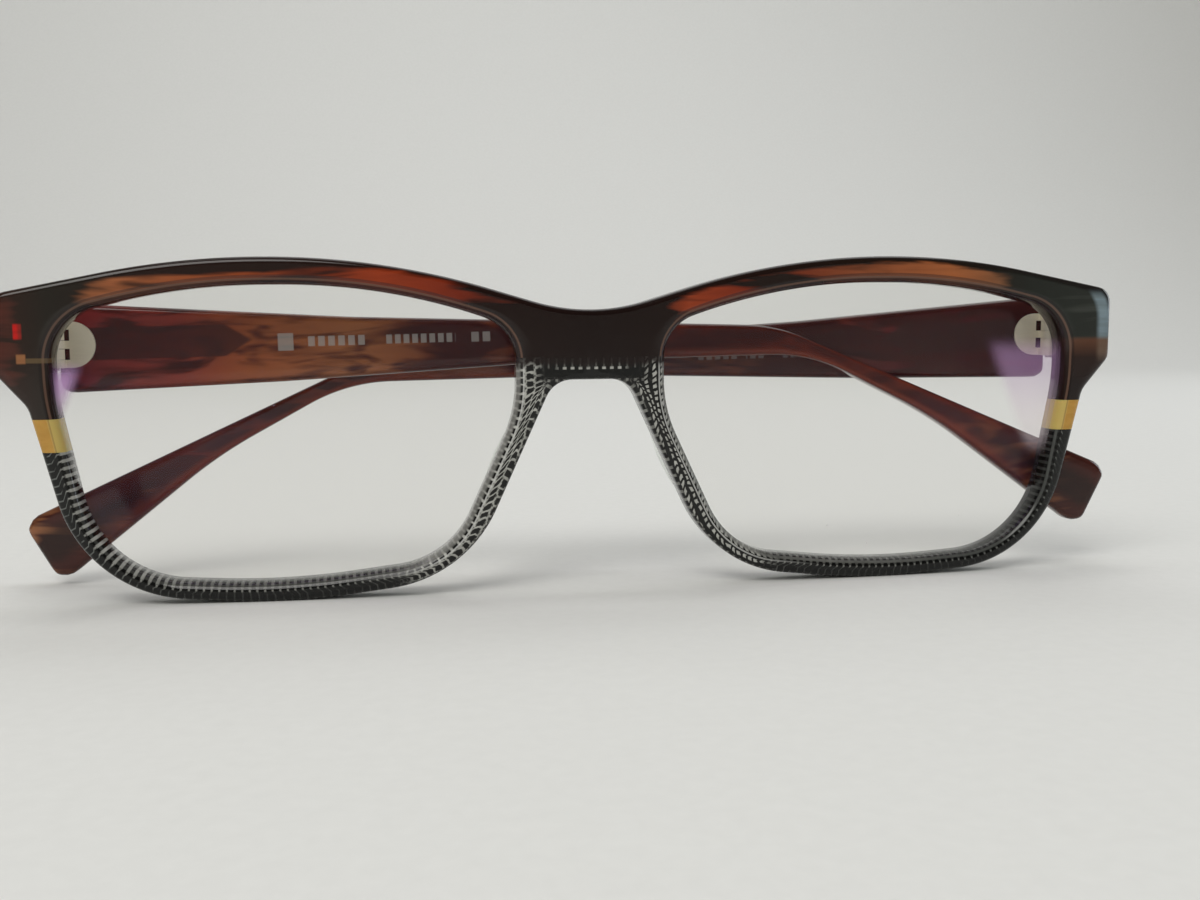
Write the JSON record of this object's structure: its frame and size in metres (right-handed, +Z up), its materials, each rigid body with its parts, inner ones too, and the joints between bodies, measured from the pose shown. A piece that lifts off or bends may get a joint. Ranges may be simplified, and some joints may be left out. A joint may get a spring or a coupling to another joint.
{
  "type": "eyeglasses",
  "caption": "Full-rim acetate eyeglasses, folded: dark brow over a patterned clear lower front, clear lenses and nose pads, and two hinged arms.",
  "frame": {"origin": "middle of the floor under the folded glasses", "axes": "+X to the right as seen from the front, +Y from the front back to the folded arms, +Z up; left and right are as seen from the front"},
  "size_m": [0.1396, 0.019, 0.0404],
  "materials": {
    "brow_acetate": "polished dark tortoise acetate with orange and amber streaks",
    "lower_acetate": "polished clear acetate with a black woven lattice inside",
    "amber_acetate": "polished translucent golden acetate",
    "clear_acetate": "polished clear acetate",
    "lens": "clear lens with a faint violet anti-reflective coating",
    "hinge_metal": "satin nickel silver",
    "screw_metal": "machined steel",
    "core_metal": "flattened nickel silver wire",
    "arm_acetate": "polished dark brown tortoise acetate with amber blotches"
  },
  "bodies": {
    "front": {"front_brow": "brow_acetate", "front_lower": "lower_acetate", "amber_inlay_left": "amber_acetate", "amber_inlay_right": "amber_acetate", "nose_pad_left": "clear_acetate", "nose_pad_right": "clear_acetate", "lens_left": "lens", "lens_right": "lens", "front_hinge_left": "hinge_metal", "front_hinge_right": "hinge_metal"},
    "left_arm": {"arm_left": "arm_acetate", "arm_core_left": "core_metal", "arm_hinge_left": "hinge_metal", "hinge_screw_left": "screw_metal"},
    "right_arm": {"arm_right": "arm_acetate", "arm_core_right": "core_metal", "arm_hinge_right": "hinge_metal", "hinge_screw_right": "screw_metal"}
  },
  "joints": [
    {"name": "fold_left", "type": "hinge", "parent": "front", "child": "left_arm", "pos_m": [-0.0629, -0.0016, 0.0304], "axis": [0, 0.0175, 0.9998], "range_deg": [0, 96.2]},
    {"name": "fold_right", "type": "hinge", "parent": "front", "child": "right_arm", "pos_m": [0.0629, -0.0016, 0.0304], "axis": [0, 0.0175, -0.9998], "range_deg": [0, 92.2]}
  ]
}
